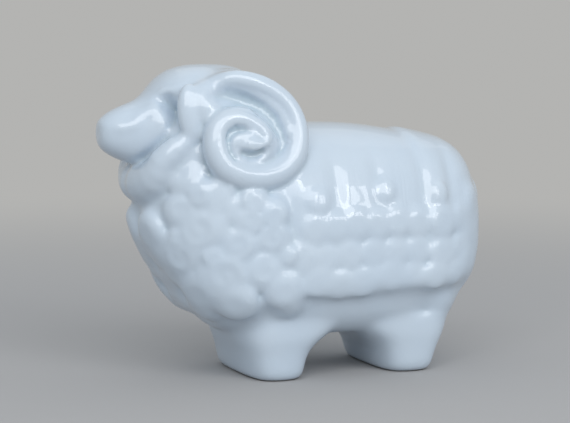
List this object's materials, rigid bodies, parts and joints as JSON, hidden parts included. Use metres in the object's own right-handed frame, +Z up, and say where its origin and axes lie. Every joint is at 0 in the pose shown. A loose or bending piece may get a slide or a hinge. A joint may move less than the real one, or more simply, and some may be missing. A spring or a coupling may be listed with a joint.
{
  "type": "ceramic ram figurine",
  "caption": "Small standing ram ornament in glazed white porcelain, hollow cast, with curled horns and a fleece of rounded curls.",
  "frame": {"origin": "middle of the box at the feet's flat undersides", "axes": "-X towards the nose, -Y towards the animal's left side, +Z up"},
  "size_m": [0.0671, 0.0324, 0.0525],
  "materials": {
    "glazed_porcelain": "clear glossy glaze with a faint blue-white tint"
  },
  "bodies": {
    "root": {"trunk_shell": "glazed_porcelain", "front_leg_block": "glazed_porcelain", "rear_leg_block": "glazed_porcelain", "head": "glazed_porcelain", "tail": "glazed_porcelain", "left_horn": "glazed_porcelain", "right_horn": "glazed_porcelain", "left_ear": "glazed_porcelain", "right_ear": "glazed_porcelain", "left_chest_fleece": "glazed_porcelain", "right_chest_fleece": "glazed_porcelain", "left_flank_fleece": "glazed_porcelain", "right_flank_fleece": "glazed_porcelain", "left_rump_fleece": "glazed_porcelain", "right_rump_fleece": "glazed_porcelain"}
  },
  "joints": []
}
